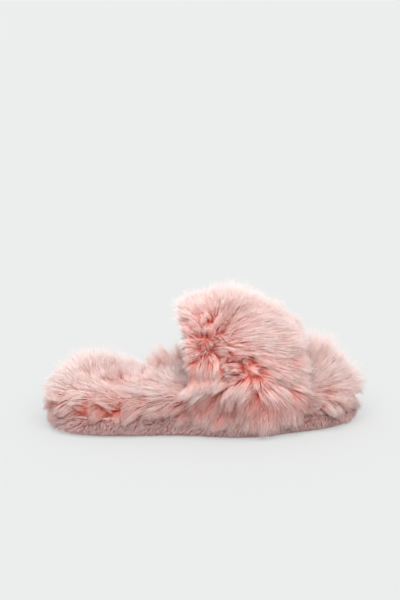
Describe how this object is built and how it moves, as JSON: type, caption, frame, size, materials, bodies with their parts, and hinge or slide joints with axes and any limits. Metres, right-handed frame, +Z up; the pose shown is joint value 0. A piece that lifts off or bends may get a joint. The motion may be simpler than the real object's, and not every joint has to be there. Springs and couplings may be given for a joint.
{
  "type": "house slipper",
  "caption": "Open-toed, open-heeled fluffy house slipper: a cushioned platform sole under long pink fur, with one padded fur band over the forefoot.",
  "frame": {"origin": "on the ground under the slipper, halfway along its length and midway between the sides of the band", "axes": "+X from heel to toe, +Y towards the inner (big toe) side of the right foot, +Z up"},
  "size_m": [0.274, 0.1293, 0.1176],
  "materials": {
    "outsole_rubber": "matt, moulded with a studded tread",
    "filler_felt": "grey-white pressed felt",
    "rand_plush": "short dense plush, dusky pink",
    "platform_foam": "closed-cell foam, off-white",
    "fibre_board": "pressed fibre board, brown",
    "cushion_foam": "soft open-cell foam, cream",
    "footbed_fur": "long pile fur, pink roots and pale tips",
    "lining_plush": "short brushed plush, pink",
    "padding_foam": "soft open-cell foam, cream",
    "band_fur": "long pile fur, salmon roots and pale tips",
    "thread": "twisted polyester thread, pink"
  },
  "bodies": {
    "root": {"outsole": "outsole_rubber", "bottom_filler": "filler_felt", "platform_wrap": "rand_plush", "platform": "platform_foam", "insole_board": "fibre_board", "footbed_foam": "cushion_foam", "footbed_cover": "footbed_fur", "band_lining": "lining_plush", "band_foam": "padding_foam", "band_outer": "band_fur", "side_seam": "thread", "band_rear_seam": "thread", "band_front_seam": "thread", "wrap_back_seam": "thread"}
  },
  "joints": []
}
